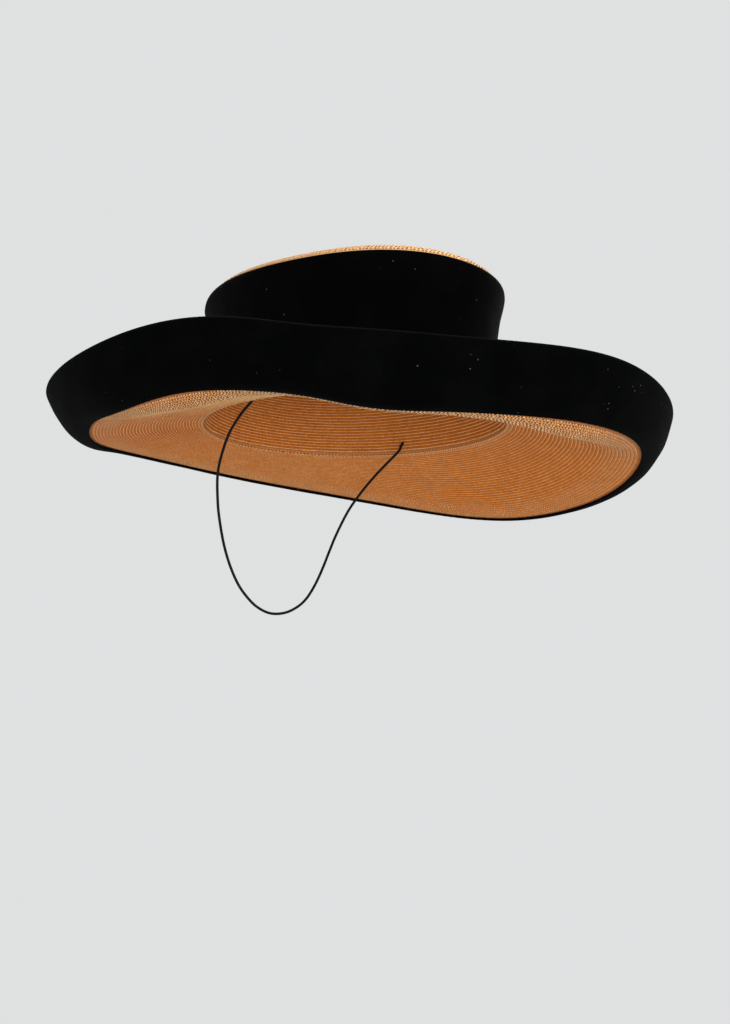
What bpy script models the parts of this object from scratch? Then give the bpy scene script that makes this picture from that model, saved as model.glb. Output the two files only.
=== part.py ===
"""Wide brim straw hat with black velvet trim, in metres.

The head opening lies level at z = 0 with its middle at the origin, +Z goes up through the crown, the front of the
hat looks along -Y and the wearer's right hand is on the -X side. Every angle round the hat starts at the front and
grows towards the wearer's left.
"""

import math

import bmesh
import bpy
import numpy as np

# Head opening, an oval measured on the inner edge of the brim
OPENING_HALF_WIDTH = 0.0795
OPENING_HALF_LENGTH = 0.105

# Materials' thicknesses and the clearance that two pieces keep
STRAW_WALL = 0.002
VELVET_WALL = 0.0012
CLEARANCE = 0.0003

# Brim, one row for each section round the hat: the seam is where the velvet facing starts, and the rim is the top
# of its fold. The slopes are in degrees: down at the opening, and up where the straw reaches the seam.
BRIM_COLUMNS = ("angle", "seam_radius", "seam_height", "rim_radius", "rim_height", "slope_in", "slope_at_seam")
BRIM_SECTIONS = (
    (0, 0.1835, -0.0190, 0.1985, 0.0196, 10, 6),
    (30, 0.1825, -0.0175, 0.2015, 0.0143, 9, -2),
    (60, 0.1735, -0.0265, 0.1960, 0.0090, 9, -4),
    (90, 0.1670, -0.0305, 0.1860, 0.0080, 9, -6),
    (120, 0.1630, -0.0190, 0.1895, 0.0130, 10, -5),
    (150, 0.1625, -0.0105, 0.1950, 0.0165, 10, -2),
    (180, 0.1640, -0.0090, 0.1980, 0.0170, 11, 1),
    (210, 0.1650, -0.0168, 0.1980, 0.0106, 10, -7),
    (240, 0.1630, -0.0200, 0.1885, 0.0125, 10, -4),
    (270, 0.1620, -0.0160, 0.1830, 0.0203, 10, -5),
    (300, 0.1650, -0.0240, 0.1860, 0.0161, 10, -2),
    (330, 0.1745, -0.0270, 0.1935, 0.0119, 11, 6),
)
# Narrower waves of the soft brim on the wearer's right side, each a bell of that half width in degrees
DENT_COLUMNS = ("angle", "half_width", "seam_lift", "rim_lift")
BRIM_DENTS = (
    (235, 10, 0.0040, 0.0005),
    (255, 12, -0.0020, -0.0005),
    (300, 9, 0.0015, -0.0030),
)
STRAW_HANDLE_IN = 0.45
STRAW_HANDLE_OUT = 0.30
FACING_HANDLE = 0.39
HEM_WIDTH = 0.012

# Crown, one row for each height on its straw wall: how far the wall stands outside the head opening all round, and
# how far the whole ring sits back
CROWN_COLUMNS = ("share_of_height", "stand_out", "sit_back")
CROWN_SECTIONS = (
    (0.00, 0.0020, 0.0000),
    (0.25, -0.0030, 0.0013),
    (0.50, -0.0068, 0.0027),
    (0.75, -0.0055, 0.0043),
    (1.00, -0.0010, 0.0058),
)
BAND_TOP_HEIGHT = 0.0805
# Waves of the band's top edge and the tip round the hat, each with its number of lobes and a peak in degrees
CROWN_WAVE_COLUMNS = ("lobes", "lift", "peak_at")
CROWN_WAVES = (
    (1, 0.0086, -44),
    (3, 0.0014, -18),
)
SHOULDER_RADIUS = 0.0077
TIP_DOME = 0.004

# Elastic, the route of its right half from the inside of the crown to the nape; the left half mirrors it
ELASTIC_DIAMETER = 0.0018
ELASTIC_POINTS = 76
ELASTIC_RIGHT_HALF = (
    (-0.0759, 0.0175, 0.0067),
    (-0.0749, 0.0176, 0.0058),
    (-0.0743, 0.0182, 0.0038),
    (-0.0743, 0.0198, 0.0008),
    (-0.0740, 0.0272, -0.0053),
    (-0.0720, 0.0379, -0.0158),
    (-0.0685, 0.0464, -0.0276),
    (-0.0645, 0.0527, -0.0400),
    (-0.0585, 0.0565, -0.0564),
    (-0.0540, 0.0577, -0.0681),
    (-0.0485, 0.0582, -0.0809),
    (-0.0420, 0.0582, -0.0925),
    (-0.0340, 0.0580, -0.1028),
    (-0.0250, 0.0580, -0.1099),
    (-0.0135, 0.0584, -0.1153),
)
ELASTIC_NAPE = (0.0, 0.0587, -0.1175)

# Colours as red, green and blue, and roughness
STRAW_COLOUR, STRAW_ROUGHNESS = (0.46, 0.22, 0.09), 0.55
VELVET_COLOUR, VELVET_ROUGHNESS = (0.005, 0.005, 0.006), 0.95
ELASTIC_COLOUR, ELASTIC_ROUGHNESS = (0.008, 0.008, 0.009), 0.60

# Faceting: steps round the hat and along each section, bends in degrees, and rings as shares of the tip
STEPS_ROUND = 54
STRAW_STEPS = 6
FACING_STEPS = 3
HEM_STEPS = 2
FOLD_TURNS = (45, 90, 135)
WALL_STEPS = 6
INNER_WALL_STEPS = 4
SHOULDER_BENDS = (18, 36, 54, 72, 90)
INNER_SHOULDER_BENDS = (30, 60, 90)
BAND_BENDS = (9, 18)
TIP_RINGS = (1, 0.66, 0.33)
SMOOTH_BELOW = math.radians(50)
CURVE_SAMPLES = 640

AROUND = np.arange(STEPS_ROUND) * (2 * math.pi / STEPS_ROUND)


def column(columns, rows, name):
    return np.array([row[columns.index(name)] for row in rows], float)


def wave_through(values, angles):
    """The smoothest wave round the hat through evenly spaced values: a mean and whole lobes, read off by Fourier."""
    parts = np.fft.rfft(values) / len(values)
    lobes = np.arange(len(parts))
    weights = np.where((lobes == 0) | (2 * lobes == len(values)), 1.0, 2.0)
    turns = np.exp(1j * lobes[:, None] * angles[None, :])
    return (weights[:, None] * parts[:, None] * turns).real.sum(axis=0)


def dents(lift):
    """How far the dents raise the seam or the rim at each angle: bells, summed."""
    rise = np.zeros(STEPS_ROUND)
    for row in BRIM_DENTS:
        dent = dict(zip(DENT_COLUMNS, row))
        away = np.angle(np.exp(1j * (AROUND - math.radians(dent["angle"]))))
        rise += dent[lift] * np.exp(-0.5 * (away / math.radians(dent["half_width"])) ** 2)
    return rise


def brim_column(name):
    wave = wave_through(column(BRIM_COLUMNS, BRIM_SECTIONS, name), AROUND)
    return wave + dents(name.replace("height", "lift")) if name.endswith("height") else wave


def curve_through(rows, places):
    """A smooth curve through rows of numbers at even steps, read at places from 0 to 1 (Catmull-Rom)."""
    rows = np.asarray(rows, float)
    before, after = 2 * rows[0] - rows[1], 2 * rows[-1] - rows[-2]
    padded = np.vstack([before, rows, after])
    at = np.clip(np.asarray(places, float), 0, 1) * (len(rows) - 1)
    span = np.minimum(at.astype(int), len(rows) - 2)
    t = (at - span)[:, None]
    a, b, c, d = (padded[span + i] for i in range(4))
    return 0.5 * (2 * b + (c - a) * t + (2 * a - 5 * b + 4 * c - d) * t**2 + (3 * b - a - 3 * c + d) * t**3)


def opening_radius():
    """An ellipse's radius at each angle round the hat."""
    across = np.sin(AROUND) / OPENING_HALF_WIDTH
    along = np.cos(AROUND) / OPENING_HALF_LENGTH
    return 1 / np.hypot(across, along)


def on_rings(radius, height, sit_back=0.0):
    """Points of the rings with those radii and heights, an array of ring, angle and x, y, z."""
    radius, height, sit_back = np.broadcast_arrays(radius, height, sit_back)
    return np.stack([radius * np.sin(AROUND), sit_back - radius * np.cos(AROUND), height], axis=-1)


def moved_out(radius, height, distance):
    """A brim section moved at right angles to itself, towards its lower and outer side."""
    along_r = np.gradient(radius, axis=0)
    along_z = np.gradient(height, axis=0)
    length = np.hypot(along_r, along_z)
    return radius + distance * along_z / length, height - distance * along_r / length


def straw_bezier(t):
    """The straw's underside from the opening to the seam: down at slope_in, then round to slope_at_seam."""
    slope_in, slope_at_seam = np.radians(brim_column("slope_in")), np.radians(brim_column("slope_at_seam"))
    r0, r3, z3 = opening_radius(), brim_column("seam_radius"), brim_column("seam_height")
    reach = np.hypot(r3 - r0, z3)
    handle_in, handle_out = STRAW_HANDLE_IN * reach, STRAW_HANDLE_OUT * reach
    r1, z1 = r0 + handle_in * np.cos(slope_in), -handle_in * np.sin(slope_in)
    r2, z2 = r3 - handle_out * np.cos(slope_at_seam), z3 - handle_out * np.sin(slope_at_seam)
    b0, b1, b2, b3 = (1 - t) ** 3, 3 * t * (1 - t) ** 2, 3 * t**2 * (1 - t), t**3
    return b0 * r0 + b1 * r1 + b2 * r2 + b3 * r3, b1 * z1 + b2 * z2 + b3 * z3


def facing_bezier(t):
    """The brim's outer face from the seam up to the rim."""
    slope = np.radians(brim_column("slope_at_seam"))
    r0, z0 = brim_column("seam_radius"), brim_column("seam_height")
    r2, z2 = brim_column("rim_radius"), brim_column("rim_height")
    handle = FACING_HANDLE * np.hypot(r2 - r0, z2 - z0)
    r1, z1 = r0 + handle * np.cos(slope), z0 + handle * np.sin(slope)
    b0, b1, b2 = (1 - t) ** 2, 2 * t * (1 - t), t**2
    return b0 * r0 + b1 * r1 + b2 * r2, b0 * z0 + b1 * z1 + b2 * z2


def place_before_rim(distance):
    """The place from 0 to 1 on the facing's curve that lies that far before the rim, measured along the curve."""
    places = np.linspace(0, 1, CURVE_SAMPLES)
    radius, height = facing_bezier(places[:, None])
    steps = np.hypot(np.diff(radius, axis=0), np.diff(height, axis=0)).mean(axis=1)
    still_to_go = np.append(np.cumsum(steps[::-1])[::-1], 0)
    return np.interp(distance, still_to_go[::-1], places[::-1])


def brim_underside():
    """The straw's lower face, opening to rim. Towards the seam it sinks by the velvet's thickness and clearance."""
    fold = STRAW_WALL / 2 + CLEARANCE + VELVET_WALL
    straw_end, hem_start = place_before_rim(fold), place_before_rim(fold + HEM_WIDTH)
    to_seam = np.linspace(0, 1, STRAW_STEPS + 1)
    to_rim = np.concatenate(
        [np.linspace(0, hem_start, FACING_STEPS + 1), np.linspace(hem_start, straw_end, HEM_STEPS + 1)[1:]]
    )
    straw_r, straw_z = straw_bezier(to_seam[:, None])
    face_r, face_z = facing_bezier(to_rim[1:, None])
    sunk = np.concatenate([to_seam**2, np.ones(len(face_r))])[:, None] * (CLEARANCE + VELVET_WALL)
    return moved_out(np.vstack([straw_r, face_r]), np.vstack([straw_z, face_z]), -sunk)


def crown_wall(shares, outward):
    """Rings up the crown's straw wall, moved outward from its outer face."""
    rows = np.array(CROWN_SECTIONS)[:, 1:]
    stand_out, sit_back = (curve_through(rows, shares)[:, [i]] for i in range(2))
    radius = opening_radius() + stand_out + outward
    base = STRAW_WALL + CLEARANCE
    height = base + (shoulder_start() - base) * np.asarray(shares, float)[:, None]
    return on_rings(radius, height, sit_back)


def crown_waves(q=1.0):
    """The top edge's waves round the hat. Across the tip, q from 1 to 0, a wave of more lobes dies away sooner."""
    waves = [dict(zip(CROWN_WAVE_COLUMNS, row)) for row in CROWN_WAVES]
    return sum(q ** w["lobes"] * w["lift"] * np.cos(w["lobes"] * (AROUND - math.radians(w["peak_at"]))) for w in waves)


def shoulder_start():
    """Height where the wall ends and the shoulder begins, so that the band's top edge comes out where it should."""
    outer_arc = SHOULDER_RADIUS + CLEARANCE + VELVET_WALL
    return BAND_TOP_HEIGHT + crown_waves() - outer_arc * math.sin(math.radians(BAND_BENDS[-1]))


def crown_shoulder(bends, outward):
    """Rings over the rounded shoulder, each at a bend in degrees from 0 at the wall to 90 at the tip."""
    _, stand_out, sit_back = CROWN_SECTIONS[-1]
    bends = np.radians(bends)[:, None]
    wall = opening_radius() + stand_out
    arc = SHOULDER_RADIUS + outward
    radius = wall - SHOULDER_RADIUS + arc * np.cos(bends)
    height = shoulder_start() + arc * np.sin(bends)
    return on_rings(radius, height, sit_back)


def crown_tip(shares, outward):
    """Rings across the tip, from 1 at the shoulder to 0 at its middle: the shoulder's waves and a low dome."""
    _, stand_out, sit_back = CROWN_SECTIONS[-1]
    q = np.asarray(shares, float)[:, None]
    edge = opening_radius() + stand_out - SHOULDER_RADIUS - CLEARANCE
    level = (shoulder_start() + SHOULDER_RADIUS + outward).mean()
    return on_rings(q * edge, level + crown_waves(q) + TIP_DOME * (1 - q**2), sit_back)


def finished(name, bm, colour, roughness):
    """An object of that mesh with smooth shading and a plain material of its own."""
    mesh = bpy.data.meshes.new(name)
    bm.to_mesh(mesh)
    bm.free()
    mesh.shade_smooth()
    mesh.set_sharp_from_angle(angle=SMOOTH_BELOW)
    piece = bpy.data.objects.new(name, mesh)
    bpy.context.scene.collection.objects.link(piece)
    mesh.materials.append(plain_material(name, colour, roughness))
    return piece


def plain_material(name, colour, roughness):
    material = bpy.data.materials.new(name)
    material.use_nodes = True
    shader = material.node_tree.nodes["Principled BSDF"]
    shader.inputs["Base Color"].default_value = (*colour, 1)
    shader.inputs["Roughness"].default_value = roughness
    shader.inputs["Metallic"].default_value = 0
    material.diffuse_color = (*colour, 1)
    return material


def bridged_rings(rings, closed):
    """A mesh of rings bridged one to the next. Closed joins the last to the first; open ends close on a pole."""
    bm = bmesh.new()
    verts = [[bm.verts.new(point) for point in ring] for ring in rings]
    pairs = list(zip(verts, verts[1:] + verts[:1] if closed else verts[1:]))
    for lower, upper in pairs:
        for i in range(STEPS_ROUND):
            j = (i + 1) % STEPS_ROUND
            bm.faces.new((lower[i], lower[j], upper[j], upper[i]))
    if not closed:
        for ring in (verts[0], verts[-1]):
            pole = bm.verts.new(np.mean([v.co for v in ring], axis=0))
            for i in range(STEPS_ROUND):
                bm.faces.new((pole, ring[i], ring[(i + 1) % STEPS_ROUND]))
    bmesh.ops.recalc_face_normals(bm, faces=bm.faces)
    return bm


def straw_brim():
    """A shell from the head opening to the rim: the underside out, and the upper side back."""
    lower_r, lower_z = brim_underside()
    upper_r, upper_z = moved_out(lower_r, lower_z, -STRAW_WALL)
    rings = np.vstack([on_rings(lower_r, lower_z), on_rings(upper_r, upper_z)[::-1]])
    return finished("straw_brim", bridged_rings(rings, closed=True), STRAW_COLOUR, STRAW_ROUGHNESS)


def straw_crown_side():
    """The crown's wall and shoulder, open below and above: the outer face up, and the inner face back down."""
    outer = np.vstack(
        [
            crown_wall(np.linspace(0, 1, WALL_STEPS + 1), 0),
            crown_shoulder(SHOULDER_BENDS, 0),
        ]
    )
    inner = np.vstack(
        [
            crown_wall(np.linspace(0, 1, INNER_WALL_STEPS + 1), -STRAW_WALL),
            crown_shoulder(INNER_SHOULDER_BENDS, -STRAW_WALL),
        ]
    )
    rings = np.vstack([outer, inner[::-1]])
    return finished("straw_crown_side", bridged_rings(rings, closed=True), STRAW_COLOUR, STRAW_ROUGHNESS)


def straw_crown_tip():
    """The crown's top inside the shoulder, a low domed plate: the upper face out, and the lower face back in."""
    rings = np.vstack([crown_tip(TIP_RINGS[::-1], 0), crown_tip(TIP_RINGS, -STRAW_WALL)])
    return finished("straw_crown_tip", bridged_rings(rings, closed=False), STRAW_COLOUR, STRAW_ROUGHNESS)


def velvet_crown_band():
    """A skin round the crown's wall that ends on its shoulder."""
    shares = np.linspace(0, 1, WALL_STEPS + 1)
    faces = [
        np.vstack([crown_wall(shares, outward), crown_shoulder(BAND_BENDS, outward)])
        for outward in (CLEARANCE, CLEARANCE + VELVET_WALL)
    ]
    rings = np.vstack([faces[0], faces[1][::-1]])
    return finished("velvet_crown_band", bridged_rings(rings, closed=True), VELVET_COLOUR, VELVET_ROUGHNESS)


def velvet_brim_facing():
    """The velvet facing: up the outer face from the seam, in a half circle over the rim and down inside as a hem."""
    lower_r, lower_z = brim_underside()
    radius, height = lower_r[STRAW_STEPS:], lower_z[STRAW_STEPS:]
    middle_r, middle_z = moved_out(lower_r, lower_z, -STRAW_WALL / 2)
    end_r, end_z = middle_r[-1], middle_z[-1]
    out_r, out_z = moved_out(lower_r, lower_z, 1.0)
    out_r, out_z = out_r[-1] - lower_r[-1], out_z[-1] - lower_z[-1]
    on_r, on_z = -out_z, out_r
    skins = []
    for away in (CLEARANCE, CLEARANCE + VELVET_WALL):
        face = moved_out(lower_r, lower_z, away)
        hem = moved_out(lower_r, lower_z, -STRAW_WALL - away)
        round_over = STRAW_WALL / 2 + away
        turns = np.radians(FOLD_TURNS)[:, None]
        fold_r = end_r + round_over * (np.cos(turns) * out_r + np.sin(turns) * on_r)
        fold_z = end_z + round_over * (np.cos(turns) * out_z + np.sin(turns) * on_z)
        skins.append(
            np.vstack(
                [
                    on_rings(face[0][STRAW_STEPS:], face[1][STRAW_STEPS:]),
                    on_rings(fold_r, fold_z),
                    on_rings(hem[0][: -HEM_STEPS - 2 : -1], hem[1][: -HEM_STEPS - 2 : -1]),
                ]
            )
        )
    rings = np.vstack([skins[0], skins[1][::-1]])
    return finished("velvet_brim_facing", bridged_rings(rings, closed=True), VELVET_COLOUR, VELVET_ROUGHNESS)


def elastic():
    """A thin round cord on one smooth curve from the crown's right wall, round the nape, to its left wall."""
    left_half = tuple((-x, y, z) for x, y, z in reversed(ELASTIC_RIGHT_HALF))
    route = ELASTIC_RIGHT_HALF + (ELASTIC_NAPE,) + left_half
    fine = curve_through(route, np.linspace(0, 1, CURVE_SAMPLES))
    along = np.concatenate([[0], np.cumsum(np.linalg.norm(np.diff(fine, axis=0), axis=1))])
    even = np.linspace(0, along[-1], ELASTIC_POINTS)
    points = np.stack([np.interp(even, along, fine[:, axis]) for axis in range(3)], axis=1)
    curve = bpy.data.curves.new("elastic", "CURVE")
    curve.dimensions = "3D"
    curve.bevel_depth = ELASTIC_DIAMETER / 2
    curve.bevel_resolution = 2
    curve.use_fill_caps = True
    spline = curve.splines.new("POLY")
    spline.points.add(len(points) - 1)
    spline.points.foreach_set("co", np.column_stack([points, np.ones(len(points))]).ravel())
    curve.materials.append(plain_material("elastic", ELASTIC_COLOUR, ELASTIC_ROUGHNESS))
    piece = bpy.data.objects.new("elastic", curve)
    bpy.context.scene.collection.objects.link(piece)
    return piece


for old in list(bpy.data.objects):
    bpy.data.objects.remove(old, do_unlink=True)

straw_brim()
straw_crown_side()
straw_crown_tip()
velvet_crown_band()
velvet_brim_facing()
elastic()
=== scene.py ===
import bmesh
import bpy
import numpy as np
from mathutils import Matrix, Vector


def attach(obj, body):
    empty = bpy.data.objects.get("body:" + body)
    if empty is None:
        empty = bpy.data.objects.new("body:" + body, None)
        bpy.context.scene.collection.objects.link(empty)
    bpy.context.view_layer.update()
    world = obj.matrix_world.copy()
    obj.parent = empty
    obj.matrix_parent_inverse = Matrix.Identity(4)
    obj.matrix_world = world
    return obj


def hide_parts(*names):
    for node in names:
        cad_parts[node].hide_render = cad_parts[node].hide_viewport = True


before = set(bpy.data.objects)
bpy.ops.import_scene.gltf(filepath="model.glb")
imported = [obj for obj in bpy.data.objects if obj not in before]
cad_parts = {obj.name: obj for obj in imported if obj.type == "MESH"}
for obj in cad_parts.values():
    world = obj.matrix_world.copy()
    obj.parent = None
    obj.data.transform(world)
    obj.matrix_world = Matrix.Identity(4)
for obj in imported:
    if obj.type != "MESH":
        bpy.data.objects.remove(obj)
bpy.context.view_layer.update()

# Camera. It stands a little below the brim and to the wearer's right of the front, and looks up at the
# underside. The picture is 730 by 1024 pixels, and the camera is rolled by a few degrees.
PICTURE_HEIGHT_PX = 1024
CAMERA_AZIMUTH, CAMERA_ELEVATION, CAMERA_ROLL = np.radians((-51, -10.8, 3.3))
CAMERA_DISTANCE = 1.3
METRES_PER_PX = 0.000634
# Where the head opening's middle stands in the picture, in metres at the hat
LEFT_OF_MIDDLE, ABOVE_MIDDLE = 0.0082, 0.0546
SENSOR_MM = 24
NEAREST_SEEN, FARTHEST_SEEN = 0.01, 50

towards_camera = np.array(
    [
        np.sin(CAMERA_AZIMUTH) * np.cos(CAMERA_ELEVATION),
        -np.cos(CAMERA_AZIMUTH) * np.cos(CAMERA_ELEVATION),
        np.sin(CAMERA_ELEVATION),
    ]
)
level = np.array([np.cos(CAMERA_AZIMUTH), np.sin(CAMERA_AZIMUTH), 0])
upright = np.cross(towards_camera, level)
rightwards = level * np.cos(CAMERA_ROLL) + upright * np.sin(CAMERA_ROLL)
upwards = upright * np.cos(CAMERA_ROLL) - level * np.sin(CAMERA_ROLL)
camera_at = LEFT_OF_MIDDLE * rightwards - ABOVE_MIDDLE * upwards + CAMERA_DISTANCE * towards_camera
lens = bpy.data.cameras.new("camera")
lens.sensor_fit = "VERTICAL"
lens.sensor_height = SENSOR_MM
lens.lens = SENSOR_MM * CAMERA_DISTANCE / (METRES_PER_PX * PICTURE_HEIGHT_PX)
lens.clip_start, lens.clip_end = NEAREST_SEEN, FARTHEST_SEEN
camera = bpy.data.objects.new("camera", lens)
bpy.context.scene.collection.objects.link(camera)
turned = Matrix(np.column_stack([rightwards, upwards, towards_camera]).tolist()).to_4x4()
camera.matrix_world = Matrix.Translation(Vector(camera_at)) @ turned
bpy.context.scene.camera = camera

# Elastic. A thin round cord with a braided black cover, sewn inside the crown at both sides just above the
# head opening. It hangs down from there and goes round at the back, and it keeps the hat on.
ELASTIC_DIAMETER = 0.0018
ELASTIC_LENGTH = 0.340
# The right half's route, from the inside of the crown down to the back; the left half mirrors it
ELASTIC_RIGHT_HALF = (
    (-0.0759, 0.0175, 0.0067),
    (-0.0749, 0.0176, 0.0058),
    (-0.0743, 0.0182, 0.0038),
    (-0.0743, 0.0198, 0.0008),
    (-0.0740, 0.0272, -0.0053),
    (-0.0720, 0.0379, -0.0158),
    (-0.0685, 0.0464, -0.0276),
    (-0.0645, 0.0527, -0.0400),
    (-0.0585, 0.0565, -0.0564),
    (-0.0540, 0.0577, -0.0681),
    (-0.0485, 0.0582, -0.0809),
    (-0.0420, 0.0582, -0.0925),
    (-0.0340, 0.0580, -0.1028),
    (-0.0250, 0.0580, -0.1099),
    (-0.0135, 0.0584, -0.1153),
)
ELASTIC_LOWEST = (0.0, 0.0587, -0.1175)
ELASTIC_STATIONS, ELASTIC_SIDES = 520, 16
COVER_RIB_PITCH, COVER_RIB_HEIGHT, COVER_RIBS = 0.0042, 0.00003, 6
# The cover's fine braid, as colour and bump: how long a repeat is, how many strands go round each way, and
# how far it stands up
COVER_REPEAT, COVER_STRANDS, COVER_RELIEF = 0.0012, 3, 0.0001
COVER_COLOURS = (0.002, 0.002, 0.002), (0.010, 0.010, 0.011)
# How rough the cover is, and how much less so where its strands stand up
COVER_ROUGHNESS, COVER_SMOOTHER = 0.75, 0.2
# Points this close are one point
WELD = 1e-7


class Number:
    """A node socket's number. Python's own signs work on it, and each adds one Math node."""

    def __init__(self, finish, socket):
        self.finish, self.socket = finish, socket

    def math(self, operation, *others):
        return self.finish.math(operation, self, *others)

    def __add__(self, other):
        return self.math("ADD", other)

    def __mul__(self, other):
        return self.math("MULTIPLY", other)

    def __sub__(self, other):
        return self.math("SUBTRACT", other)

    def __rsub__(self, other):
        return self.finish.math("SUBTRACT", other, self)

    def __pow__(self, other):
        return self.math("POWER", other)

    __radd__ = __add__
    __rmul__ = __mul__

    def hump(self, power):
        """1 in the middle of a span from 0 to 1, falling to 0 at its ends: 1 - |2x - 1|**power."""
        return 1 - (self * 2 - 1).math("ABSOLUTE") ** power

    def rise(self, low, high):
        """A soft step from 0 at low to 1 at high."""
        sockets = {"Value": self, "From Min": low, "From Max": high}
        return self.finish.node("ShaderNodeMapRange", {"interpolation_type": "SMOOTHSTEP"}, sockets, "Result")

    def span(self, start, full, easing, end):
        """1 from full to easing, with a soft step up to it from start and one down from it to end."""
        return self.rise(start, full) * (1 - self.rise(easing, end))


class Finish:
    """A material with one Principled shader. What is the same all over is set on the shader's own sockets."""

    def __init__(self, name, **evenly):
        self.material = bpy.data.materials.new(name)
        self.material.use_nodes = True
        self.tree = self.material.node_tree
        self.shader = self.tree.nodes["Principled BSDF"]
        for socket, value in evenly.items():
            self.feed(self.shader.inputs[socket.replace("_", " ")], value)

    def feed(self, socket, value):
        """Links a Number to a socket, or sets the socket to a number or to a colour's red, green and blue."""
        if isinstance(value, Number):
            self.tree.links.new(value.socket, socket)
        else:
            socket.default_value = (*value, 1) if isinstance(value, tuple) else value

    def node(self, kind, settings, sockets, output):
        """A node of that kind, with its settings first and then its sockets' values or links."""
        node = self.tree.nodes.new(kind)
        for name, value in settings.items():
            setattr(node, name, value)
        for name, value in sockets.items():
            self.feed(node.inputs[name], value)
        return Number(self, node.outputs[output])

    def math(self, operation, *values):
        return self.node("ShaderNodeMath", {"operation": operation}, dict(enumerate(values)), 0)

    def place(self, output="Object"):
        return self.node("ShaderNodeTexCoord", {}, {}, output)

    def split(self, vector):
        """A vector's first two numbers."""
        return tuple(self.node("ShaderNodeSeparateXYZ", {}, {"Vector": vector}, axis) for axis in "XY")

    def joined(self, x, y, z):
        return self.node("ShaderNodeCombineXYZ", {}, {"X": x, "Y": y, "Z": z}, 0)

    def noise(self, vector, scale, detail=2.0, roughness=0.5):
        sockets = {"Vector": vector, "Scale": scale, "Detail": detail, "Roughness": roughness}
        return self.node("ShaderNodeTexNoise", {}, sockets, 0)

    def chance(self, vector):
        """One random number from 0 to 1 for each different vector."""
        return self.node("ShaderNodeTexWhiteNoise", {"noise_dimensions": "3D"}, {"Vector": vector}, "Value")

    def blend(self, share, first, second):
        """A colour from first at 0 to second at 1. A Mix node's two colours are its sockets 6 and 7."""
        return self.node("ShaderNodeMix", {"data_type": "RGBA"}, {0: share, 6: first, 7: second}, 2)

    def surface(self, colour, roughness, height, relief):
        """Feeds what varies: colour, roughness, and a height from 0 to 1 that stands relief metres tall."""
        sockets = {"Strength": 1.0, "Distance": relief, "Height": height}
        self.feed(self.shader.inputs["Base Color"], colour)
        self.feed(self.shader.inputs["Roughness"], roughness)
        self.feed(self.shader.inputs["Normal"], self.node("ShaderNodeBump", {}, sockets, 0))


def surface_of(name, points, finish, across, repeats, closed=True):
    """A mesh over a grid of points, ring after ring, each ring closed round.

    Closed joins the last ring to the first, and otherwise a face closes each open end. The UV map's first
    number runs from 0 to repeats round each ring, and its second is across, one number for each ring.
    """
    rings, steps = points.shape[:2]
    corners = points.reshape(-1, 3)
    index = np.arange(rings * steps).reshape(rings, steps)
    first = np.arange(rings if closed else rings - 1)
    second = (first + 1) % rings
    lower, upper = index[first], index[second]
    quads = np.stack([lower, np.roll(lower, -1, 1), np.roll(upper, -1, 1), upper], axis=-1)
    same_row = np.where(across[second] < across[first], second, first)
    repeats = np.broadcast_to(repeats, rings)[same_row][:, None]
    round_it = np.arange(steps + 1)[None] / steps
    start, end = repeats * round_it[:, :-1], repeats * round_it[:, 1:]
    low, high = (np.broadcast_to(across[side][:, None], start.shape) for side in (first, second))
    uv = np.stack([np.stack(pair, -1) for pair in ((start, low), (end, low), (end, high), (start, high))], 2)
    faces, loops = quads.reshape(-1, 4), uv.reshape(-1, 4, 2)
    # Faces that together enclose a negative volume look inward, and all of them are turned round
    a, b, c, d = (corners[faces[:, i]] for i in range(4))
    if np.einsum("ij,ij->i", np.cross(c - a, d - b), a + b + c + d).sum() < 0:
        faces, loops = faces[:, ::-1], loops[:, ::-1]
    mesh = bpy.data.meshes.new(name)
    mesh.from_pydata(corners.tolist(), [], faces.tolist())
    mesh.uv_layers.new(name="UVMap").data.foreach_set("uv", loops.ravel().astype(np.float32))
    mesh.shade_smooth()
    bm = bmesh.new()
    bm.from_mesh(mesh)
    bmesh.ops.remove_doubles(bm, verts=bm.verts, dist=WELD)
    if not closed:
        bmesh.ops.holes_fill(bm, edges=bm.edges, sides=0)
    bm.to_mesh(mesh)
    bm.free()
    mesh.materials.append(finish.material)
    piece = bpy.data.objects.new(name, mesh)
    bpy.context.scene.collection.objects.link(piece)
    return piece


def curve_through(rows, places):
    """A smooth curve through rows of numbers at even steps, read at places from 0 to 1 (Catmull-Rom)."""
    rows = np.asarray(rows, float)
    padded = np.vstack([2 * rows[0] - rows[1], rows, 2 * rows[-1] - rows[-2]])
    at = np.clip(np.asarray(places, float), 0, 1) * (len(rows) - 1)
    span = np.minimum(at.astype(int), len(rows) - 2)
    t = (at - span)[:, None]
    a, b, c, d = (padded[span + i] for i in range(4))
    return 0.5 * (2 * b + (c - a) * t + (2 * a - 5 * b + 4 * c - d) * t**2 + (3 * b - a - 3 * c + d) * t**3)


def length_along(line):
    """How far each point of a line is from its start, in metres along the line."""
    return np.append(0, np.cumsum(np.linalg.norm(np.diff(line, axis=0), axis=1)))


def evenly_spaced(route, count):
    """That many points at equal distances along the smooth curve through the route."""
    fine = curve_through(route, np.linspace(0, 1, 4 * count))
    along = length_along(fine)
    wanted = np.linspace(0, along[-1], count)
    return np.stack([np.interp(wanted, along, fine[:, axis]) for axis in range(3)], axis=1)


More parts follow.
